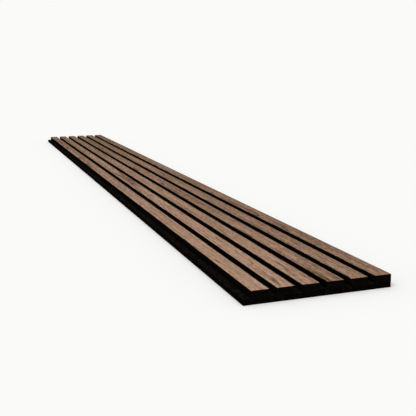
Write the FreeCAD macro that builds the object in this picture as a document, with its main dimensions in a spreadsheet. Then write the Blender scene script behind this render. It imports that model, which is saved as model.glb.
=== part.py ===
"""Acoustic slat wall panel: walnut-faced slats fixed on a sheet of black polyester felt.

The panel lies on its back. X runs across the slats, Y along them and Z out of the wall.
The origin is the middle of the felt's back face. The felt is bare for one groove's width
along its -X edge and ends flush with the last slat along its +X edge, so that panels
pushed together keep the spacing of the slats. Each slat is a bar of black fibreboard with
walnut veneer on its face, and is held by staples driven from behind through the felt.
"""
import FreeCAD, Part
import Sketcher

import os

OUT = "parts"

# alias, value in millimetres or a count, what it is
SIZES = (
    ("panel_length", 2400, "length of the felt and of every slat"),
    ("slat_count", 6, "slats side by side"),
    ("slat_width", 27, "width of one slat"),
    ("groove_width", 13, "clear width between two slats"),
    ("lip_width", 13, "felt left bare beside the first slat"),
    ("felt_thickness", 9, "needled polyester felt"),
    ("core_thickness", 11.4, "black fibreboard under the veneer"),
    ("veneer_thickness", 0.6, "walnut veneer on the slat's face"),
    ("arris", 0.3, "sanded edge along each side of the veneer"),
    ("staple_rows", 9, "staples along one slat"),
    ("end_margin", 60, "from a panel end to the nearest staple"),
    ("crown_length", 12.8, "outside width of a staple's crown"),
    ("wire_width", 0.95, "flat staple wire, the wide way"),
    ("wire_thickness", 0.65, "flat staple wire, the thin way"),
    ("bend_radius", 0.9, "outside of the bend between crown and leg"),
    ("point_flat", 0.15, "blunt end left on the chisel point of each leg"),
    ("crown_sink", 0.3, "how far a crown is pulled in below the felt's back"),
    ("tip_cover", 4.1, "fibreboard left between a staple's points and the veneer"),
    ("drive_gap", 0.02, "room round the wire in what it was driven through"),
)

FELT_WIDTH = (
    "(Sizes.lip_width + Sizes.slat_count * Sizes.slat_width"
    " + (Sizes.slat_count - 1) * Sizes.groove_width)"
)
SLAT_PITCH = "(Sizes.slat_width + Sizes.groove_width)"
SLAT_SPREAD = f"((Sizes.slat_count - 1) * {SLAT_PITCH})"
FIRST_SLAT_X = f"(Sizes.lip_width + Sizes.slat_width / 2 - {FELT_WIDTH} / 2)"
FIRST_STAPLE_Y = "(Sizes.end_margin - Sizes.panel_length / 2)"
STAPLED_LENGTH = "(Sizes.panel_length - 2 * Sizes.end_margin)"
LEG_REACH = "(Sizes.core_thickness - Sizes.tip_cover)"
LEG_LENGTH = f"(Sizes.felt_thickness - Sizes.crown_sink + {LEG_REACH})"
SLOT_LENGTH = "(Sizes.crown_length + 2 * Sizes.drive_gap)"
SLOT_WIDTH = "(Sizes.wire_width + 2 * Sizes.drive_gap)"
SLOT_DEPTH = "(Sizes.crown_sink + Sizes.wire_thickness + Sizes.drive_gap)"
HOLE_LENGTH = "(Sizes.wire_thickness + 2 * Sizes.drive_gap)"

# Parts of a sketch that a constraint can name, each group in Sketcher's own order
LINE_PARTS = ("whole line", "start", "end")
_, START, END = LINE_PARTS
SKETCH_AXES = ("across", "up")
ACROSS_AXIS, UP_AXIS = SKETCH_AXES
SKETCH_ORIGIN = (ACROSS_AXIS, START)

# Two places closer than this are the same, in millimetres
CLOSE = 1e-6

doc = FreeCAD.newDocument("SlatPanel")


def make_sheet():
    """The sheet of driving dimensions, one row for each."""
    sheet = doc.addObject("Spreadsheet::Sheet", "Sizes")
    for row, (alias, value, meaning) in enumerate(SIZES, start=1):
        sheet.set(f"A{row}", meaning)
        sheet.set(f"B{row}", str(value))
        sheet.setAlias(f"B{row}", alias)
    doc.recompute()
    return sheet


def bind(feature, **expressions):
    """Ties properties of a feature to the sheet; a double underscore stands for a dot."""
    for name, expression in expressions.items():
        feature.setExpression(name.replace("__", "."), expression)


def new_body(label, **place):
    """A body of its own, with the x, y and z of its place bound to the sheet."""
    body = doc.addObject("PartDesign::Body", label)
    body.Label = label
    bind(body, **{f"Placement__Base__{axis}": where for axis, where in place.items()})
    return body


def origin_feature(body, role):
    """One of a body's own origin planes or axes."""
    return next(feature for feature in body.Origin.OriginFeatures if feature.Role == role)


def new_sketch(body, name, plane="XY_Plane", **shift):
    """An empty sketch on one of the body's origin planes, shifted from its middle."""
    sketch = body.newObject("Sketcher::SketchObject", name)
    sketch.AttachmentSupport = (origin_feature(body, plane), [""])
    sketch.MapMode = "FlatFace"
    bind(sketch, **{f"AttachmentOffset__Base__{axis}": by for axis, by in shift.items()})
    return sketch


def sketcher_number(item):
    """Sketcher's number for a part of a sketch; a line's own number stays as it is."""
    if item in LINE_PARTS:
        return LINE_PARTS.index(item)
    if item in SKETCH_AXES:
        return ~SKETCH_AXES.index(item)
    return item


def constrain(sketch, kind, *where):
    """Adds one constraint to a sketch and gives its number."""
    return sketch.addConstraint(Sketcher.Constraint(kind, *map(sketcher_number, where)))


def dimension(sketch, kind, expression, *where):
    """A length or radius in a sketch, bound to the sheet."""
    index = constrain(sketch, kind, *where, 1.0)
    sketch.setExpression(f"Constraints[{index}]", expression)


def add_rectangle(sketch, middle=0.0):
    """Four joined lines about a point on the X axis, from the lower left anticlockwise.

    Their first size and place are rough: the sketch's dimensions set them.
    """
    corners = [
        FreeCAD.Vector(middle + side, level, 0)
        for side, level in ((-1, -1), (1, -1), (1, 1), (-1, 1))
    ]
    first = sketch.GeometryCount
    for i in range(4):
        sketch.addGeometry(Part.LineSegment(corners[i], corners[(i + 1) % 4]), False)
    for i in range(4):
        constrain(sketch, "Coincident", first + i, END, first + (i + 1) % 4, START)
        constrain(sketch, "Vertical" if i % 2 else "Horizontal", first + i)
    return first


def centred_rectangle(body, name, width, depth, **shift):
    """A sketch of one rectangle with its middle at the sketch's origin."""
    sketch = new_sketch(body, name, **shift)
    base = add_rectangle(sketch)
    constrain(sketch, "Symmetric", base, START, base + 2, START, *SKETCH_ORIGIN)
    dimension(sketch, "DistanceX", width, base, START, base, END)
    dimension(sketch, "DistanceY", depth, base + 1, START, base + 1, END)
    return sketch


def leg_holes(body, name, **shift):
    """A sketch of the two small holes that one staple's legs have made."""
    sketch = new_sketch(body, name, **shift)
    left = add_rectangle(sketch, middle=-5.0)
    right = add_rectangle(sketch, middle=5.0)
    constrain(sketch, "Symmetric", left, START, right + 2, START, *SKETCH_ORIGIN)
    constrain(sketch, "Symmetric", left + 2, START, right, START, *SKETCH_ORIGIN)
    constrain(sketch, "Horizontal", left, START, right, START)
    dimension(sketch, "DistanceX", HOLE_LENGTH, left, START, left, END)
    dimension(sketch, "DistanceX", SLOT_LENGTH, left, START, right, END)
    dimension(sketch, "DistanceY", SLOT_WIDTH, left + 1, START, left + 1, END)
    return sketch


def finish_feature(body, feature):
    """Makes a feature the body's latest and works it out."""
    body.Tip = feature
    doc.recompute()
    return feature


def add_pad(body, name, sketch, length):
    """Material grown upwards from a sketch."""
    pad = body.newObject("PartDesign::Pad", name)
    pad.Profile = sketch
    bind(pad, Length=length)
    return finish_feature(body, pad)


def add_pocket(body, name, sketch, depth=None):
    """A cut from the underside upwards, right through where no depth is given."""
    before = body.Shape.Volume
    pocket = body.newObject("PartDesign::Pocket", name)
    pocket.Profile = sketch
    pocket.Reversed = True
    if depth is None:
        pocket.Type = "ThroughAll"
    else:
        bind(pocket, Length=depth)
    finish_feature(body, pocket)
    if not body.Shape.Volume < before:
        raise RuntimeError(f"{name} of {body.Label} cut nothing")
    return pocket


def add_grid(body, name, originals, across=True):
    """Repeats features for each staple along a slat and, if wanted, for each slat."""
    grid = body.newObject("PartDesign::LinearPattern", name)
    if originals:
        grid.Originals = originals
    else:
        grid.TransformMode = "Whole shape"
    grid.Direction = (origin_feature(body, "Y_Axis"), [""])
    bind(grid, Length=STAPLED_LENGTH, Occurrences="Sizes.staple_rows")
    if across:
        grid.Direction2 = (origin_feature(body, "X_Axis"), [""])
        bind(grid, Length2=SLAT_SPREAD, Occurrences2="Sizes.slat_count")
    return finish_feature(body, grid)


def add_dress_up(body, kind, name, wanted, **sizes):
    """A fillet or chamfer on the edges along Y that are wanted, judged by their place."""
    before = body.Tip
    whole = before.Shape.BoundBox
    names = []
    for number, edge in enumerate(before.Shape.Edges, start=1):
        box = edge.BoundBox
        along_y = box.XLength < CLOSE and box.ZLength < CLOSE
        if along_y and wanted(abs(box.Center.x), box.Center.z, whole):
            names.append(f"Edge{number}")
    feature = body.newObject(f"PartDesign::{kind}", name)
    feature.Base = (before, names)
    bind(feature, **sizes)
    return finish_feature(body, feature)


def make_felt():
    """The backing sheet, dimpled and pierced by every staple."""
    body = new_body("felt_backing")
    outline = centred_rectangle(body, "FeltOutline", FELT_WIDTH, "Sizes.panel_length")
    add_pad(body, "FeltSheet", outline, "Sizes.felt_thickness")
    first_staple = {"x": FIRST_SLAT_X, "y": FIRST_STAPLE_Y}
    crown = centred_rectangle(body, "CrownOutline", SLOT_LENGTH, SLOT_WIDTH, **first_staple)
    slot = add_pocket(body, "CrownSlot", crown, SLOT_DEPTH)
    legs = leg_holes(body, "FeltLegOutline", **first_staple)
    holes = add_pocket(body, "FeltLegHoles", legs)
    add_grid(body, "StaplePrints", [slot, holes])
    return body


def make_core(number):
    """The black fibreboard bar of one slat, with blind holes where the staples bite."""
    body = new_body(
        f"slat_core_{number}",
        x=f"{FIRST_SLAT_X} + {number - 1} * {SLAT_PITCH}",
        z="Sizes.felt_thickness",
    )
    outline = centred_rectangle(body, "CoreOutline", "Sizes.slat_width", "Sizes.panel_length")
    add_pad(body, "CoreBar", outline, "Sizes.core_thickness")
    legs = leg_holes(body, "CoreLegOutline", y=FIRST_STAPLE_Y)
    holes = add_pocket(body, "CoreLegHoles", legs, f"{LEG_REACH} + Sizes.drive_gap")
    add_grid(body, "StapleHoles", [holes], across=False)
    return body


def make_veneer(number):
    """The walnut strip on one slat, with its long edges eased by sanding."""
    body = new_body(
        f"slat_veneer_{number}",
        x=f"{FIRST_SLAT_X} + {number - 1} * {SLAT_PITCH}",
        z="Sizes.felt_thickness + Sizes.core_thickness",
    )
    outline = centred_rectangle(body, "VeneerOutline", "Sizes.slat_width", "Sizes.panel_length")
    add_pad(body, "VeneerStrip", outline, "Sizes.veneer_thickness")
    add_dress_up(body, "Chamfer", "EasedEdges", at_top, Size="Sizes.arris")
    return body


def at_top(_, z, whole):
    """True on the upper face."""
    return z > whole.ZMax - CLOSE


def at_bottom(_, z, whole):
    """True on the lower face."""
    return z < whole.ZMin + CLOSE


def at_outer_tip(x, z, whole):
    """True on the outer edge of a staple leg's end."""
    return z > whole.ZMax - CLOSE and x > whole.XMax - CLOSE


def staple_profile(body):
    """A sketch of one staple seen along the slat: a U of flat wire, open upwards.

    The first corners are rough: the sketch's dimensions set them.
    """
    sketch = new_sketch(body, "StapleProfile", "XZ_Plane")
    rough_corners = [(-6, 0), (6, 0), (6, 15), (5, 15), (5, 1), (-5, 1), (-5, 15), (-6, 15)]
    points = [FreeCAD.Vector(x, y, 0) for x, y in rough_corners]
    count = len(points)
    lines = range(count)
    for i in lines:
        sketch.addGeometry(Part.LineSegment(points[i], points[(i + 1) % count]), False)
    for i in lines:
        constrain(sketch, "Coincident", i, END, (i + 1) % count, START)
    back, right_leg, right_end, right_inside, crown_inside, left_inside, left_end, left_leg = lines
    for line in (right_end, crown_inside, left_end):
        constrain(sketch, "Horizontal", line)
    for line in (right_leg, right_inside, left_inside, left_leg):
        constrain(sketch, "Vertical", line)
    constrain(sketch, "Symmetric", back, START, back, END, UP_AXIS)
    constrain(sketch, "PointOnObject", back, START, ACROSS_AXIS)
    constrain(sketch, "Equal", right_leg, left_leg)
    constrain(sketch, "Equal", right_end, left_end)
    dimension(sketch, "DistanceX", "Sizes.crown_length", back, START, back, END)
    dimension(sketch, "DistanceY", LEG_LENGTH, right_leg, START, right_leg, END)
    dimension(sketch, "DistanceX", "Sizes.wire_thickness", right_end, END, right_end, START)
    dimension(sketch, "DistanceY", "Sizes.wire_thickness", back, START, crown_inside, END)
    return sketch


def make_staples():
    """Every staple: flat wire bent to a U with a chisel point on each leg."""
    body = new_body("back_staples", x=FIRST_SLAT_X, y=FIRST_STAPLE_Y, z="Sizes.crown_sink")
    body.AllowCompound = True
    wire = add_pad(body, "Wire", staple_profile(body), "Sizes.wire_width")
    wire.SideType = "Symmetric"
    doc.recompute()
    bevel = "Sizes.wire_thickness - Sizes.point_flat"
    add_dress_up(body, "Fillet", "Bends", at_bottom, Radius="Sizes.bend_radius")
    add_dress_up(body, "Chamfer", "ChiselPoints", at_outer_tip, Size=bevel)
    add_grid(body, "EveryStaple", [])
    return body


def check(bodies):
    """Stops if a feature failed or a sub-part is not made of sound solids."""
    for feature in doc.Objects:
        if {"Invalid", "Error"} & set(feature.State):
            raise RuntimeError(f"{feature.Label} failed: {feature.State}")
    for body in bodies:
        shape = body.Shape
        if shape.isNull() or not shape.isValid() or not shape.Solids:
            raise RuntimeError(f"{body.Label} is not a valid solid")


def main():
    sheet = make_sheet()
    numbers = range(1, int(sheet.get("slat_count")) + 1)
    bodies = [make_felt()]
    bodies += [make_core(number) for number in numbers]
    bodies += [make_veneer(number) for number in numbers]
    bodies.append(make_staples())
    doc.recompute()
    check(bodies)
    os.makedirs(OUT, exist_ok=True)
    for body in bodies:
        body.Shape.exportStep(os.path.join(OUT, body.Label + ".step"))
        print(body.Label, len(body.Shape.Solids), round(body.Shape.Volume, 1), body.Shape.BoundBox)


main()
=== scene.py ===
"""Looks of an acoustic slat wall panel, lying on its back on a pale floor.

Six black fibreboard slats with walnut veneer on their faces are stapled from behind to a
sheet of black needled felt. Everything is in metres in the part's own frame: X across the
slats, Y along them, Z out of the wall.
"""
import math

import bpy
from mathutils import Matrix, Vector, noise


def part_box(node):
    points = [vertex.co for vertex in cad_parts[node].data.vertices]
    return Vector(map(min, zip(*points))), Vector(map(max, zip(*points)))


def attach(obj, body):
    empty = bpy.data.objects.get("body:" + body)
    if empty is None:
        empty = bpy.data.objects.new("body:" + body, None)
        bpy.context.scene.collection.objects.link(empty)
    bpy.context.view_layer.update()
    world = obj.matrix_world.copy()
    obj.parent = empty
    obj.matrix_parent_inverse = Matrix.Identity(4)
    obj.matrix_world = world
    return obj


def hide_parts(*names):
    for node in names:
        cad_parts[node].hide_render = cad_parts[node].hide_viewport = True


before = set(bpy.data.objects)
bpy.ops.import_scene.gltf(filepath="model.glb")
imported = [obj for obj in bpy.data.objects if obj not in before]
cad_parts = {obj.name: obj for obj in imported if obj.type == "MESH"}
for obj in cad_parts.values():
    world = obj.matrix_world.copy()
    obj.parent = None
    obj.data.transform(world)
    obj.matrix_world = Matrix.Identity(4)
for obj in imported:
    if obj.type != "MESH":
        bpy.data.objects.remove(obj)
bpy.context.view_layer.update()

MM = 0.001

# Places read from the part
FELT_LOW, FELT_HIGH = (Vector(corner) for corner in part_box("felt_backing"))
SLATS = sorted(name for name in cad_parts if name.startswith("slat_core_"))
VENEERS = sorted(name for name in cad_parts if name.startswith("slat_veneer_"))
FIRST_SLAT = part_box(SLATS[0])
SLAT_LEFT = FIRST_SLAT[0][0]
SLAT_WIDTH = FIRST_SLAT[1][0] - SLAT_LEFT
SLAT_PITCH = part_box(SLATS[1])[0][0] - SLAT_LEFT
STAPLE_LOW, STAPLE_HIGH = (Vector(corner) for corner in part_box("back_staples"))

# Staples, as the part has them; the depth is from the felt's back to the top of the wire
STAPLE_ROWS = 9
CROWN_LENGTH = 12.8 * MM
CROWN_WIDTH = 0.95 * MM
CROWN_DEPTH = 0.95 * MM
CROWN_ROOM = 0.02 * MM

# How the felt gives: it swells where it is bare, wears round at its edges and dips round a
# staple's crown
BARE_SWELL = 0.28 * MM
BARE_LUMPS = 0.16 * MM
SLAT_PINCH = 2.5 * MM
EDGE_WEAR = 1.0 * MM
DENT_REACH = 4 * MM
DENT_FLAT = 0.06
KNIFE_WAVER = 0.12 * MM

# The felt's mesh: the widest cell in a groove and along the panel, and its lines in mm from
# the middle of a staple, over the crown and down the dent round it
GROOVE_CELL = 2.2 * MM
LONG_CELL = 12 * MM
DENT_COLUMNS = (-10.5, -8.5, -6.7, -3.3, 0, 3.3, 6.7, 8.5, 10.5)
DENT_ROWS = (-4.5, -2.8, -1.6, -0.62, 0.62, 1.6, 2.8, 4.5)

# Loose fibres on the bare felt; real ones are 0.03 mm thick, these are drawn thicker so
# that they show up close
FIBRES = {
    "Fibres per square metre": 30000.0,
    "Fibre length": 4.5 * MM,
    "Fibre thickness": 0.11 * MM,
    "Rise": 0.5 * MM,
    "Seed": 7,
}

# The sky's share of the light on a level surface; the lamp gives the rest, and leans this way
SKY_SHARE = 0.62
LAMP_SLOPE = (0.42, 0.30, -1.0)
LAMP_SPREAD = math.radians(50)

# The studio's floor, and the background past it
PALE_PAPER = "#fafaf8"
FLOOR_REACH = 40.0

# Wood grown in one year, as this cut shows it
RING_WIDTH = 4.0 * MM

# How much the figure of the wood lightens it on the whole, on a scale of tone from 0 to 1
FIGURE_LIGHTENS = 0.44

# Camera, worked out from the slats' corners in the photograph, 416 pixels wide
CAMERA_AT = (-0.4703, -2.0906, 0.3343)
CAMERA_LOOKS_AT = (0.0599, -0.5195, 0.0)
CAMERA_ROLL = -0.8168
FOCAL_PIXELS = 713.1
FRAME_PIXELS = 416


def colour(code):
    """A colour written as sRGB hex, turned to the linear values that shaders read."""
    parts = [int(code[i:i + 2], 16) / 255 for i in (1, 3, 5)]
    linear = [c / 12.92 if c <= 0.04045 else ((c + 0.055) / 1.055) ** 2.4 for c in parts]
    return (*linear, 1.0)


def add(tree, kind, inputs=(), stops=(), **settings):
    """Adds a node and sets its settings; each input gets a value or a link, a ramp its stops."""
    made = tree.nodes.new(kind)
    for name, value in settings.items():
        setattr(made, name, value)
    for key, value in dict(inputs).items():
        if isinstance(value, bpy.types.Node):
            value = next(socket for socket in value.outputs if socket.enabled)
        if isinstance(value, bpy.types.NodeSocket):
            tree.links.new(value, made.inputs[key])
        else:
            made.inputs[key].default_value = value
    for _ in stops[2:]:
        made.color_ramp.elements.new(0.5)
    for index, (place, shade) in enumerate(stops):
        made.color_ramp.elements[index].position = place
        made.color_ramp.elements[index].color = (
            colour(shade) if isinstance(shade, str) else (shade, shade, shade, 1.0)
        )
    return made


def new_material(name, **surface):
    """A material with one Principled surface; the settings go on its own sockets."""
    material = bpy.data.materials.new(name)
    material.use_nodes = True
    tree = material.node_tree
    tree.nodes.clear()
    shader = add(tree, "ShaderNodeBsdfPrincipled", surface)
    add(tree, "ShaderNodeOutputMaterial", {"Surface": shader})
    return material, tree, shader


def place_on_slats(tree, across):
    """Which slat a point is on, counted from 0, and how far it is from that slat's middle."""
    from_left = add(tree, "ShaderNodeMath", {0: across, 1: SLAT_LEFT}, operation="SUBTRACT")
    pitches = add(tree, "ShaderNodeMath", {0: from_left, 1: SLAT_PITCH}, operation="DIVIDE")
    number = add(tree, "ShaderNodeMath", {0: pitches}, operation="FLOOR")
    slat_middle = add(
        tree, "ShaderNodeMath", {0: number, 1: SLAT_PITCH, 2: SLAT_WIDTH / 2},
        operation="MULTIPLY_ADD",
    )
    off_middle = add(tree, "ShaderNodeMath", {0: from_left, 1: slat_middle}, operation="SUBTRACT")
    return number, off_middle


def growth_rings(tree, leaf, share, off_middle):
    """Lines that are dark where each year's wood ends; some years are stronger.

    They are the rings of a log that was cut a little above its heart: long arches where
    the heart is near, and straight lines beside it.
    """
    # The log: how far to one side its heart wanders, how deep under the cut it lies, and how
    # its rings waver. Width and length of a wave in mm, detail, and the least and most in mm
    log = []
    for width, length, detail, least, most in (
        (3300, 900, 1.0, -9.0, 9.0), (3300, 590, 0.5, 1.5, 26.0), (8.3, 110, 3.0, -1.0, 2.6),
    ):
        wave_place = add(
            tree, "ShaderNodeVectorMath", {0: leaf, 1: (1 / (width * MM), 1 / (length * MM), 1.0)},
            operation="MULTIPLY",
        )
        wave = add(
            tree, "ShaderNodeTexNoise",
            {"Vector": wave_place, "Scale": 1.0, "Detail": detail, "Roughness": 0.5},
        )
        log.append(add(
            tree, "ShaderNodeMapRange",
            {"Value": wave, "From Min": 0.25, "From Max": 0.75,
             "To Min": least * MM, "To Max": most * MM},
        ))
    wander, depth, waver = log

    # How far to one side of each slat's middle the heart lay, from the first slat to the
    # last, as shares from -20 to 20 mm; the second and third slat were cut nearest to it
    heart = add(
        tree, "ShaderNodeValToRGB", {0: share},
        [(0.0, 0.9), (0.2, 0.6), (0.4, 0.4), (0.6, 0.8), (0.8, 0.9), (1.0, 0.8)],
    )
    heart_side = add(
        tree, "ShaderNodeMapRange", {"Value": heart, "To Min": -20 * MM, "To Max": 20 * MM}
    )

    # How many years from the heart a point grew
    off_heart = add(tree, "ShaderNodeMath", {0: off_middle, 1: heart_side}, operation="ADD")
    off_heart = add(tree, "ShaderNodeMath", {0: off_heart, 1: wander}, operation="ADD")
    corner = add(tree, "ShaderNodeCombineXYZ", {"X": off_heart, "Y": depth})
    radius = add(tree, "ShaderNodeVectorMath", {0: corner}, operation="LENGTH")
    radius = add(tree, "ShaderNodeMath", {0: radius, 1: waver}, operation="ADD")
    years = add(tree, "ShaderNodeMath", {0: radius, 1: RING_WIDTH}, operation="DIVIDE")

    part_of_year = add(tree, "ShaderNodeMath", {0: years}, operation="FRACT")
    late_wood = add(
        tree, "ShaderNodeValToRGB", {0: part_of_year},
        [(0.0, 0.0), (0.40, 0.06), (0.75, 0.40), (0.92, 1.0), (0.975, 0.8), (1.0, 0.0)],
    )
    year = add(tree, "ShaderNodeMath", {0: years}, operation="FLOOR")
    year_chance = add(tree, "ShaderNodeTexWhiteNoise", {"W": year}, noise_dimensions="1D")
    strength = add(
        tree, "ShaderNodeMapRange", {"Value": year_chance.outputs["Value"], "To Min": 0.25}
    )
    return add(tree, "ShaderNodeMath", {0: late_wood, 1: strength}, operation="MULTIPLY")


def leaf_tones_and_painted_shade(tree, share, along):
    """How light the wood is without its figure: each slat's own tone, with painted shade that
    darkens it towards the far end.
    """
    # From the first slat to the last; what the figure adds on the whole is taken off
    leaf_tone = add(
        tree, "ShaderNodeValToRGB", {0: share},
        [(0.0, 0.56), (0.2, 0.54), (0.4, 0.50), (0.6, 0.41), (0.8, 0.43), (1.0, 0.37)],
    )
    tone = add(tree, "ShaderNodeMath", {0: leaf_tone, 1: FIGURE_LIGHTENS}, operation="SUBTRACT")

    # Painted shade: the wood darkens along the panel towards the far end, the first slat's most,
    # standing in for the light falling off away from the near end; the last third of the length is
    # painted a shade darker still
    slope = add(tree, "ShaderNodeMapRange", {"Value": share, "To Min": -0.115, "To Max": -0.02})
    tone = add(tree, "ShaderNodeMath", {0: along, 1: slope, 2: tone}, operation="MULTIPLY_ADD")
    # Painted shade: a further darkening over the far third of the panel
    foot = add(
        tree, "ShaderNodeMapRange",
        {"Value": along, "From Min": 0.2, "From Max": 0.6, "To Min": 0.0, "To Max": -0.065},
        interpolation_type="SMOOTHSTEP",
    )
    return add(tree, "ShaderNodeMath", {0: tone, 1: foot}, operation="ADD")


def wood_figure(tree, leaf, ring_line, tone):
    """Adds the rings and the finer patterns of the wood to its tone.

    Gives the new tone, and a dictionary of the patterns, each from 0, none, to 1, full.
    """
    tone = add(
        tree, "ShaderNodeMath", {0: ring_line, 1: -0.42, 2: tone}, operation="MULTIPLY_ADD"
    )

    # For each pattern the width and length of a patch in mm, its detail, how much more of it
    # lies along the rings, the noise that is spread from none to full, and how much full
    # lightens. Real pores are 0.2 mm wide; they are drawn 0.7 mm so that they show
    figure = {
        "bands": (9.5, 600, 2.0, 0.0, 0.30, 0.70, 0.16),
        "streaks": (3.2, 420, 4.0, 0.0, 0.28, 0.72, 0.38),
        "mottle": (2.4, 14, 3.0, 0.0, 0.30, 0.70, 0.44),
        "threads": (0.7, 25, 2.0, 0.0, 0.30, 0.70, 0.30),
        "clouds": (60, 300, 2.0, 0.0, 0.30, 0.70, 0.10),
        "flecks": (2.0, 24, 3.0, 0.12, 0.58, 0.72, -0.30),
        "pores": (0.7, 8.7, 1.0, 0.09, 0.57, 0.66, -0.28),
    }
    spread = {}
    for name, (width, length, detail, crowding, least, most, lightens) in figure.items():
        patch_place = add(
            tree, "ShaderNodeVectorMath", {0: leaf, 1: (1 / (width * MM), 1 / (length * MM), 1.0)},
            operation="MULTIPLY",
        )
        patches = add(
            tree, "ShaderNodeTexNoise",
            {"Vector": patch_place, "Scale": 1.0, "Detail": detail, "Roughness": 0.6,
             "Distortion": 0.4},
        )
        crowded = add(
            tree, "ShaderNodeMath", {0: ring_line, 1: crowding, 2: patches},
            operation="MULTIPLY_ADD",
        )
        spread[name] = add(
            tree, "ShaderNodeMapRange", {"Value": crowded, "From Min": least, "From Max": most}
        )
        tone = add(
            tree, "ShaderNodeMath", {0: spread[name], 1: lightens, 2: tone},
            operation="MULTIPLY_ADD",
        )
    return tone, spread


def two_browns(tree, leaf, along, tone):
    """The wood's colour: brown, and a redder brown in areas of 12 by 110 mm.

    There is more of the redder one towards the near end.
    """
    red_place = add(
        tree, "ShaderNodeVectorMath", {0: leaf, 1: (1 / (12 * MM), 1 / (110 * MM), 2.0)},
        operation="MULTIPLY",
    )
    red_noise = add(
        tree, "ShaderNodeTexNoise",
        {"Vector": red_place, "Scale": 1.0, "Detail": 4.0, "Roughness": 0.65},
    )
    red_drift = add(
        tree, "ShaderNodeMath", {0: along, 1: -0.03, 2: red_noise}, operation="MULTIPLY_ADD"
    )
    redness = add(
        tree, "ShaderNodeMapRange", {"Value": red_drift, "From Min": 0.44, "From Max": 0.66}
    )
    brown = add(
        tree, "ShaderNodeValToRGB", {0: tone},
        [(0.0, "#38281d"), (0.20, "#554332"), (0.42, "#715a45"), (0.72, "#977a61"),
         (1.0, "#b7977c")],
    )
    red_brown = add(
        tree, "ShaderNodeValToRGB", {0: tone},
        [(0.0, "#3a2821"), (0.20, "#574137"), (0.42, "#745a4b"), (0.72, "#9b7869"),
         (1.0, "#ba9483")],
    )
    return add(
        tree, "ShaderNodeMix", {"Factor": redness, "A": brown, "B": red_brown}, data_type="RGBA"
    )


def walnut_veneer():
    """Flat-cut walnut veneer under matt lacquer.

    Each slat shows another part of a leaf: growth rings as long arches where the cut ran
    near the heart of the log and as straight lines beside it, short dark pores, and a
    slow change between brown and a redder brown. The lacquer is thin and dull.
    """
    material, tree, shader = new_material(
        "walnut_veneer_matt_lacquer", **{"Specular IOR Level": 0.02, "IOR": 1.5}
    )
    place = add(tree, "ShaderNodeTexCoord").outputs["Object"]
    split = add(tree, "ShaderNodeSeparateXYZ", {0: place})
    along = split.outputs["Y"]
    number, off_middle = place_on_slats(tree, split.outputs["X"])

    # 0 on the first slat and 1 on the last
    share = add(tree, "ShaderNodeMath", {0: number, 1: len(SLATS) - 1}, operation="DIVIDE")

    # Each slat takes its own part of the leaf, that many metres away from its neighbour's
    chance = add(tree, "ShaderNodeTexWhiteNoise", {"W": number}, noise_dimensions="1D")
    centred = add(tree, "ShaderNodeCombineXYZ", {"X": off_middle, "Y": along})
    leaf = add(
        tree, "ShaderNodeVectorMath",
        {0: chance.outputs["Color"], 1: (7.0, 9.0, 3.0), 2: centred}, operation="MULTIPLY_ADD",
    )

    ring_line = growth_rings(tree, leaf, share, off_middle)
    tone, spread = wood_figure(tree, leaf, ring_line, leaf_tones_and_painted_shade(tree, share, along))
    wood = two_browns(tree, leaf, along, tone)

    # The veneer's cut edge is dark: end grain, lacquer and the black of the board below
    facing = add(
        tree, "ShaderNodeSeparateXYZ", {0: add(tree, "ShaderNodeNewGeometry").outputs["Normal"]}
    )
    edge = add(
        tree, "ShaderNodeValToRGB", {0: facing.outputs["Z"]}, [(0.30, "#24130d"), (0.55, "#ffffff")]
    )
    final = add(
        tree, "ShaderNodeMix", {"Factor": 1.0, "A": wood, "B": edge},
        data_type="RGBA", blend_type="MULTIPLY",
    )
    tree.links.new(final.outputs["Result"], shader.inputs["Base Color"])
    rough = add(
        tree, "ShaderNodeMapRange", {"Value": spread["streaks"], "To Min": 0.88, "To Max": 0.76}
    )
    tree.links.new(rough.outputs["Result"], shader.inputs["Roughness"])
    relief = add(tree, "ShaderNodeMath", {0: spread["threads"], 1: 0.5}, operation="MULTIPLY")
    relief = add(
        tree, "ShaderNodeMath", {0: relief, 1: spread["pores"]}, operation="SUBTRACT"
    )
    bump = add(tree, "ShaderNodeBump", {"Height": relief, "Strength": 0.4, "Distance": 0.06 * MM})
    tree.links.new(bump.outputs["Normal"], shader.inputs["Normal"])
    return material


def black_fibreboard():
    """Fibreboard dyed black all through: dull, with the flecks of pressed wood fibres."""
    material, tree, shader = new_material(
        "black_dyed_fibreboard_sawn",
        **{"Specular IOR Level": 0.0, "IOR": 1.53, "Roughness": 0.9},
    )
    place = add(tree, "ShaderNodeTexCoord").outputs["Object"]

    # Bundles of fibres about 1 mm across, in pressed layers of 0.7 mm
    fibres = add(
        tree, "ShaderNodeTexNoise",
        {"Vector": place, "Scale": 1 / (1.1 * MM), "Detail": 4.0, "Roughness": 0.75,
         "Distortion": 1.5},
    )
    layer_place = add(
        tree, "ShaderNodeVectorMath",
        {0: place, 1: (1 / (17 * MM), 1 / (17 * MM), 1 / (0.7 * MM))}, operation="MULTIPLY",
    )
    layers = add(tree, "ShaderNodeTexNoise", {"Vector": layer_place, "Scale": 1.0, "Detail": 2.0})
    height = add(
        tree, "ShaderNodeMath", {0: layers, 1: 0.4, 2: fibres}, operation="MULTIPLY_ADD"
    )
    shade = add(
        tree, "ShaderNodeValToRGB", {0: height},
        [(0.45, "#030202"), (0.72, "#090706"), (0.95, "#1c1815")],
    )
    tree.links.new(shade.outputs["Color"], shader.inputs["Base Color"])
    bump = add(tree, "ShaderNodeBump", {"Height": height, "Strength": 0.5, "Distance": 0.15 * MM})
    tree.links.new(bump.outputs["Normal"], shader.inputs["Normal"])
    return material


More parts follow.
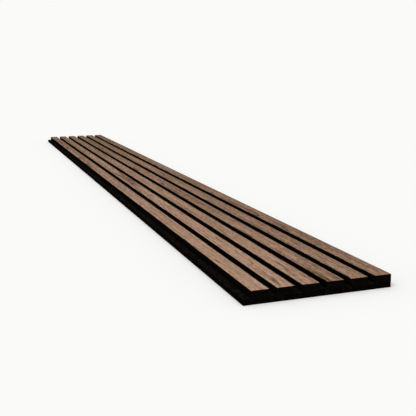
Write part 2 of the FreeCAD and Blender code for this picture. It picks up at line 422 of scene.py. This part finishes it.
def needled_felt():
    """Black polyester fibres needled to a board: very dull, with a nap of crossed fibres."""
    material, tree, shader = new_material(
        "black_polyester_felt_needled",
        **{"Specular IOR Level": 0.0, "IOR": 1.57, "Roughness": 0.95},
    )
    place = add(tree, "ShaderNodeTexCoord").outputs["Object"]

    # Fibres of 0.03 mm, drawn 0.4 mm wide and 5 mm long so that they show, lying four ways
    nap = 0.0
    for angle, seed in ((0.3, 0.0), (1.1, 3.1), (1.9, 6.2), (2.7, 9.3)):
        turned = add(
            tree, "ShaderNodeVectorRotate", {"Vector": place, "Angle": angle},
            rotation_type="Z_AXIS",
        )
        drawn_out = add(
            tree, "ShaderNodeVectorMath",
            {0: turned, 1: (1 / (0.43 * MM), 1 / (5.3 * MM), 1 / (1.1 * MM)), 2: (seed,) * 3},
            operation="MULTIPLY_ADD",
        )
        fibres = add(
            tree, "ShaderNodeTexNoise",
            {"Vector": drawn_out, "Scale": 1.0, "Detail": 1.0, "Distortion": 0.7},
        )
        nap = add(tree, "ShaderNodeMath", {0: nap, 1: fibres}, operation="MAXIMUM")

    # A cut edge shows the layers that were needled together, 0.5 mm each
    sliced = add(
        tree, "ShaderNodeVectorMath",
        {0: place, 1: (1 / (3.8 * MM), 1 / (3.8 * MM), 1 / (0.48 * MM))}, operation="MULTIPLY",
    )
    layers = add(
        tree, "ShaderNodeTexNoise",
        {"Vector": sliced, "Scale": 1.0, "Detail": 3.0, "Distortion": 0.5},
    )
    facing = add(
        tree, "ShaderNodeSeparateXYZ", {0: add(tree, "ShaderNodeNewGeometry").outputs["Normal"]}
    )
    flat = add(tree, "ShaderNodeMath", {0: facing.outputs["Z"], 1: 2.0}, operation="POWER")
    laid = add(tree, "ShaderNodeMix", {"Factor": flat, "A": layers, "B": nap}, data_type="FLOAT")

    # Soft lumps about 6 mm across
    lumps = add(
        tree, "ShaderNodeTexNoise", {"Vector": place, "Scale": 1 / (6.2 * MM), "Detail": 3.0}
    )
    height = add(tree, "ShaderNodeMath", {0: lumps, 1: 0.35, 2: laid}, operation="MULTIPLY_ADD")
    shade = add(
        tree, "ShaderNodeValToRGB", {0: height},
        [(0.60, "#030202"), (0.78, "#0b0907"), (0.98, "#2c2722")],
    )
    tree.links.new(shade.outputs["Color"], shader.inputs["Base Color"])
    bump = add(tree, "ShaderNodeBump", {"Height": height, "Strength": 0.9, "Distance": 0.5 * MM})
    tree.links.new(bump.outputs["Normal"], shader.inputs["Normal"])
    return material


def felt_fibre():
    """A loose polyester fibre, dyed black as it was spun: grey where it catches the light."""
    material, tree, shader = new_material(
        "black_polyester_fibre", **{"Specular IOR Level": 0.15, "IOR": 1.57, "Roughness": 0.6}
    )
    place = add(tree, "ShaderNodeTexCoord").outputs["Object"]

    # Tufts about 8 mm across are paler than others
    tufts = add(
        tree, "ShaderNodeTexNoise", {"Vector": place, "Scale": 1 / (7.7 * MM), "Detail": 2.0}
    )
    shade = add(
        tree, "ShaderNodeValToRGB", {0: tufts},
        [(0.38, "#070605"), (0.58, "#161311"), (0.75, "#3d3934")],
    )
    tree.links.new(shade.outputs["Color"], shader.inputs["Base Color"])
    return material


def galvanised_wire():
    """Zinc-coated flat steel wire: pale grey, with a dull bloom in the zinc."""
    material, tree, shader = new_material("galvanised_steel_wire", **{"Metallic": 1.0})
    place = add(tree, "ShaderNodeTexCoord").outputs["Object"]

    # Blotches of 0.7 mm
    bloom = add(
        tree, "ShaderNodeTexNoise", {"Vector": place, "Scale": 1 / (0.67 * MM), "Detail": 3.0}
    )
    shade = add(tree, "ShaderNodeValToRGB", {0: bloom}, [(0.35, "#8f918f"), (0.65, "#b9bbb8")])
    tree.links.new(shade.outputs["Color"], shader.inputs["Base Color"])
    rough = add(tree, "ShaderNodeMapRange", {"Value": bloom, "To Min": 0.28, "To Max": 0.55})
    tree.links.new(rough.outputs["Result"], shader.inputs["Roughness"])
    return material


def spaced(low, high, step):
    """Even places from low to high, no further apart than step."""
    count = math.ceil((high - low) / step)
    return [low + (high - low) * i / count for i in range(count + 1)]


def slat_middles():
    """The middle of each slat across the panel."""
    return [SLAT_LEFT + SLAT_WIDTH / 2 + i * SLAT_PITCH for i in range(len(SLATS))]


def staple_places():
    """The middle of each row of staples along the panel."""
    first = STAPLE_LOW.y + CROWN_WIDTH / 2
    last = STAPLE_HIGH.y - CROWN_WIDTH / 2
    return [first + (last - first) * i / (STAPLE_ROWS - 1) for i in range(STAPLE_ROWS)]


def thinned(places, least):
    """Sorted places, without those that come too close after another."""
    kept = []
    for place in sorted(places):
        if not kept or place - kept[-1] >= least:
            kept.append(place)
    return kept


def felt_grid():
    """Columns and rows of the felt's mesh, closer at edges, in grooves and round staples."""
    worn = [0, 0.12 * EDGE_WEAR, 0.4 * EDGE_WEAR, EDGE_WEAR]
    columns = [FELT_LOW.x + d for d in worn] + [FELT_HIGH.x - d for d in worn]
    columns += spaced(FELT_LOW.x + 2.4 * EDGE_WEAR, SLAT_LEFT, GROOVE_CELL)
    for middle in slat_middles():
        columns += [middle + d * MM for d in DENT_COLUMNS]
    for middle in slat_middles()[:-1]:
        groove = middle + SLAT_WIDTH / 2
        columns += spaced(groove, groove + SLAT_PITCH - SLAT_WIDTH, GROOVE_CELL)
    rows = [FELT_LOW.y + d for d in worn] + [FELT_HIGH.y - d for d in worn]
    staples = staple_places()
    for staple in staples:
        rows += [staple + d * MM for d in DENT_ROWS]
    for place in spaced(FELT_LOW.y + 4 * EDGE_WEAR, FELT_HIGH.y - 4 * EDGE_WEAR, LONG_CELL):
        if min(abs(place - staple) for staple in staples) > DENT_REACH + 3 * MM:
            rows.append(place)
    return thinned(columns, 0.1 * MM), thinned(rows, 0.1 * MM)


def bareness(x):
    """0 under a slat and at its foot, rising to 1 in the middle of the bare felt."""
    away = min(abs(x - middle) for middle in slat_middles()) - SLAT_WIDTH / 2
    return 1 - math.exp(-away / SLAT_PINCH) if away > 0 else 0.0


def smooth_step(value):
    """0 below 0 and 1 above 1, with a soft start and end between them."""
    value = min(max(value, 0.0), 1.0)
    return value * value * (3 - 2 * value)


def felt_edge(x, y):
    """How far the felt's worn edge falls back from its flat faces."""
    inside = min(x - FELT_LOW.x, FELT_HIGH.x - x, y - FELT_LOW.y, FELT_HIGH.y - y)
    short = max(EDGE_WEAR - inside, 0.0)
    return EDGE_WEAR - math.sqrt(max(EDGE_WEAR * EDGE_WEAR - short * short, 0.0))


def felt_top(x, y):
    """The front of the felt: it swells a little where no slat presses on it."""
    # Lumps about 12 mm across, with smaller ones of 4 mm on them
    lumps = noise.noise(Vector((x * 85, y * 85, 1.0)))
    lumps += 0.5 * noise.noise(Vector((x * 240, y * 240, 5.0)))
    swell = bareness(x) * (BARE_SWELL + BARE_LUMPS * lumps)
    return FELT_HIGH.z + swell - felt_edge(x, y)


def felt_back(x, y):
    """The back of the felt: flat, with a soft dent round each staple's crown."""
    dent = 0.0
    for row in staple_places():
        along = (abs(y - row) - CROWN_WIDTH / 2) / DENT_REACH
        if along >= 1:
            continue
        across = min(abs(x - middle) for middle in slat_middles())
        across = (across - CROWN_LENGTH / 2) / DENT_REACH
        reach = math.hypot(max(along, 0), max(across, 0))
        dent = max(dent, 1 - smooth_step((reach - DENT_FLAT) / (1 - DENT_FLAT)))
    return FELT_LOW.z + felt_edge(x, y) + dent * (CROWN_DEPTH + CROWN_ROOM)


def make_felt(material):
    """The sheet of felt as a closed skin: front, back and four cut edges."""
    columns, rows = felt_grid()
    wide, long = len(columns), len(rows)
    points = [(x, y, felt_top(x, y)) for y in rows for x in columns]
    points += [(x, y, felt_back(x, y)) for y in rows for x in columns]
    back = wide * long
    faces = []
    for j in range(long - 1):
        for i in range(wide - 1):
            a, b = j * wide + i, j * wide + i + 1
            c, d = b + wide, a + wide
            faces.append((a, b, c, d))
            faces.append((back + d, back + c, back + b, back + a))

    # The cut edges, from the back's rim up to the front's, with the unevenness of a knife
    # cut: waves about 3 mm long and 2 mm high
    rim = [(i, 0) for i in range(wide - 1)]
    rim += [(wide - 1, j) for j in range(long - 1)]
    rim += [(i, long - 1) for i in range(wide - 1, 0, -1)]
    rim += [(0, j) for j in range(long - 1, 0, -1)]
    loops = [[back + j * wide + i for i, j in rim]]
    for share in (0.25, 0.5, 0.75):
        loop = []
        for i, j in rim:
            x, y = columns[i], rows[j]
            low, high = felt_back(x, y), felt_top(x, y)
            z = low + (high - low) * share
            rough = KNIFE_WAVER * noise.noise(Vector((x * 300, y * 300, z * 500)))
            inward = Vector((
                -math.copysign(1, x) if i in (0, wide - 1) else 0,
                -math.copysign(1, y) if j in (0, long - 1) else 0,
                0,
            ))
            loop.append(len(points))
            points.append(Vector((x, y, z)) + inward * (KNIFE_WAVER + rough))
        loops.append(loop)
    loops.append([j * wide + i for i, j in rim])
    for lower, upper in zip(loops, loops[1:]):
        for k in range(len(rim)):
            n = (k + 1) % len(rim)
            faces.append((lower[k], lower[n], upper[n], upper[k]))

    mesh = bpy.data.meshes.new("felt_sheet")
    mesh.from_pydata(points, [], faces)
    mesh.shade_smooth()

    # Where loose fibres grow: all over the bare front, fewer on the cut edges
    bare = mesh.attributes.new("bare", "FLOAT", "POINT")
    for index, (x, y, z) in enumerate(points):
        rim_point = index >= 2 * back
        bare.data[index].value = 0.4 if rim_point else (bareness(x) if index < back else 0.0)
    mesh.materials.append(material)
    felt = bpy.data.objects.new("felt_sheet", mesh)
    bpy.context.collection.objects.link(felt)
    return felt


def fuzz_tree(material):
    """Loose fibres that arch out of the nap and back into it."""
    tree = bpy.data.node_groups.new("loose_fibres", "GeometryNodeTree")
    tree.interface.new_socket("Felt", in_out="INPUT", socket_type="NodeSocketGeometry")
    for name, value in FIBRES.items():
        kind = "NodeSocketInt" if isinstance(value, int) else "NodeSocketFloat"
        tree.interface.new_socket(name, in_out="INPUT", socket_type=kind)
    tree.interface.new_socket("Fibres", in_out="OUTPUT", socket_type="NodeSocketGeometry")
    given = add(tree, "NodeGroupInput").outputs

    bare = add(tree, "GeometryNodeInputNamedAttribute", {"Name": "bare"}, data_type="FLOAT")
    density = add(
        tree, "ShaderNodeMath", {0: bare, 1: given["Fibres per square metre"]},
        operation="MULTIPLY",
    )
    roots = add(
        tree, "GeometryNodeDistributePointsOnFaces",
        {"Mesh": given["Felt"], "Density": density, "Seed": given["Seed"]},
    )

    # One fibre: a low arch, thin and three-sided, with its ends sunk in the nap. The point
    # that bends it is about a third of its length along and as far to one side
    sink = add(tree, "ShaderNodeMath", {0: given["Rise"], 1: -0.6}, operation="MULTIPLY")
    bend = add(tree, "ShaderNodeMath", {0: given["Fibre length"], 1: 0.36}, operation="MULTIPLY")
    rise = add(tree, "ShaderNodeMath", {0: given["Rise"], 1: 2.2}, operation="MULTIPLY")
    start = add(tree, "ShaderNodeCombineXYZ", {"Z": sink})
    middle = add(tree, "ShaderNodeCombineXYZ", {"X": bend, "Y": bend, "Z": rise})
    end = add(tree, "ShaderNodeCombineXYZ", {"X": given["Fibre length"], "Z": sink})
    arch = add(
        tree, "GeometryNodeCurveQuadraticBezier",
        {"Resolution": 3, "Start": start, "Middle": middle, "End": end},
    )
    radius = add(
        tree, "ShaderNodeMath", {0: given["Fibre thickness"], 1: 0.5}, operation="MULTIPLY"
    )
    ring = add(tree, "GeometryNodeCurvePrimitiveCircle", {"Resolution": 3, "Radius": radius})
    fibre = add(
        tree, "GeometryNodeCurveToMesh",
        {"Curve": arch, "Profile Curve": ring, "Fill Caps": True},
    )

    # Each is laid its own way, a little tipped, and is 0.35 to 0.9 of full size
    turn = add(
        tree, "FunctionNodeRandomValue",
        {0: (-0.25, -0.25, 0.0), 1: (0.25, 0.25, 2 * math.pi), "Seed": given["Seed"]},
        data_type="FLOAT_VECTOR",
    )
    size = add(
        tree, "FunctionNodeRandomValue", {2: 0.35, 3: 0.9, "Seed": given["Seed"]},
        data_type="FLOAT",
    )
    placed = add(
        tree, "GeometryNodeInstanceOnPoints",
        {"Points": roots, "Instance": fibre, "Rotation": roots.outputs["Rotation"], "Scale": size},
    )
    spun = add(tree, "GeometryNodeRotateInstances", {"Instances": placed, "Rotation": turn})
    real = add(tree, "GeometryNodeRealizeInstances", {"Geometry": spun})

    # No fibre reaches behind the back, or more than a little past the cut edges
    lowest = (FELT_LOW.x - MM, FELT_LOW.y - MM, FELT_LOW.z + 0.1 * MM)
    above = add(
        tree, "ShaderNodeVectorMath", {0: add(tree, "GeometryNodeInputPosition"), 1: lowest},
        operation="MAXIMUM",
    )
    inside = add(
        tree, "ShaderNodeVectorMath", {0: above, 1: (FELT_HIGH.x + MM, FELT_HIGH.y + MM, 1.0)},
        operation="MINIMUM",
    )
    held = add(tree, "GeometryNodeSetPosition", {"Geometry": real, "Position": inside})
    finished = add(tree, "GeometryNodeSetMaterial", {"Geometry": held, "Material": material})
    add(tree, "NodeGroupOutput", {"Fibres": finished})
    return tree


def make_fuzz(felt, material):
    """Grows the loose fibres on the felt and keeps them as a plain mesh."""
    holder = bpy.data.objects.new("fuzz_holder", felt.data.copy())
    bpy.context.collection.objects.link(holder)
    grower = holder.modifiers.new("fibres", "NODES")
    grower.node_group = fuzz_tree(material)
    for socket in grower.node_group.interface.items_tree:
        if socket.name in FIBRES:
            grower[socket.identifier] = FIBRES[socket.name]
    seen = holder.evaluated_get(bpy.context.evaluated_depsgraph_get())
    mesh = bpy.data.meshes.new_from_object(seen)
    mesh.name = "felt_fibres"
    bpy.data.objects.remove(holder)
    fuzz = bpy.data.objects.new("felt_fibres", mesh)
    bpy.context.collection.objects.link(fuzz)
    return fuzz


def dress(names, material):
    """Gives nodes of the part their finish."""
    for name in names:
        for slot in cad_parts[name].material_slots:
            slot.material = material


def make_floor():
    """A wide pale floor; it keeps the panel's shadow."""
    mesh = bpy.data.meshes.new("floor")
    square = ((-1, -1), (1, -1), (1, 1), (-1, 1))
    corners = [(x * FLOOR_REACH, y * FLOOR_REACH, 0) for x, y in square]
    mesh.from_pydata(corners, [], [(0, 1, 2, 3)])
    floor = bpy.data.objects.new("floor", mesh)
    bpy.context.collection.objects.link(floor)
    material, _, _ = new_material(
        "pale_paper_floor",
        **{"Base Color": colour(PALE_PAPER), "Roughness": 1.0, "Specular IOR Level": 0.0},
    )
    mesh.materials.append(material)


def make_world():
    """An even studio sky, and a pale background for what sees past the floor."""
    world = bpy.data.worlds.new("studio")
    bpy.context.scene.world = world
    world.use_nodes = True
    tree = world.node_tree
    tree.nodes.clear()
    rays = add(tree, "ShaderNodeLightPath").outputs
    seen = add(
        tree, "ShaderNodeMath", {0: rays["Is Camera Ray"], 1: rays["Is Glossy Ray"]},
        operation="MAXIMUM",
    )
    seen = add(
        tree, "ShaderNodeMath", {0: seen, 1: rays["Is Transmission Ray"]}, operation="MAXIMUM"
    )
    light = add(
        tree, "ShaderNodeBackground", {"Color": colour("#ffffff"), "Strength": SKY_SHARE}
    )
    backdrop = add(tree, "ShaderNodeBackground", {"Color": colour(PALE_PAPER), "Strength": 1.0})
    both = add(tree, "ShaderNodeMixShader", {0: seen, 1: light, 2: backdrop})
    add(tree, "ShaderNodeOutputWorld", {"Surface": both})


def make_lamp():
    """One wide soft lamp, high on the left behind the camera, as strong as the sky leaves."""
    slope = Vector(LAMP_SLOPE).normalized()
    data = bpy.data.lights.new("soft_key", "SUN")
    data.energy = (1 - SKY_SHARE) * math.pi / -slope.z
    data.angle = LAMP_SPREAD
    lamp = bpy.data.objects.new("soft_key", data)
    lamp.rotation_euler = slope.to_track_quat("-Z", "Y").to_euler()
    bpy.context.collection.objects.link(lamp)


def make_camera():
    """The camera that took the photograph."""
    data = bpy.data.cameras.new("photo_view")
    data.sensor_width = 36.0
    data.lens = data.sensor_width * FOCAL_PIXELS / FRAME_PIXELS
    data.clip_start = 0.01
    data.clip_end = 200
    camera = bpy.data.objects.new("photo_view", data)
    sight = Vector(CAMERA_LOOKS_AT) - Vector(CAMERA_AT)
    upright = sight.to_track_quat("-Z", "Y").to_matrix().to_4x4()
    roll = Matrix.Rotation(math.radians(CAMERA_ROLL), 4, "Z")
    camera.matrix_world = Matrix.Translation(CAMERA_AT) @ upright @ roll
    bpy.context.collection.objects.link(camera)
    bpy.context.scene.camera = camera


bpy.context.scene.view_settings.view_transform = "Standard"
make_camera()
make_world()
make_lamp()
make_floor()
dress(VENEERS, walnut_veneer())
dress(SLATS, black_fibreboard())
dress(["back_staples"], galvanised_wire())

felt = make_felt(needled_felt())
fuzz = make_fuzz(felt, felt_fibre())
for piece in (felt, fuzz):
    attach(piece, "root")
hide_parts("felt_backing")
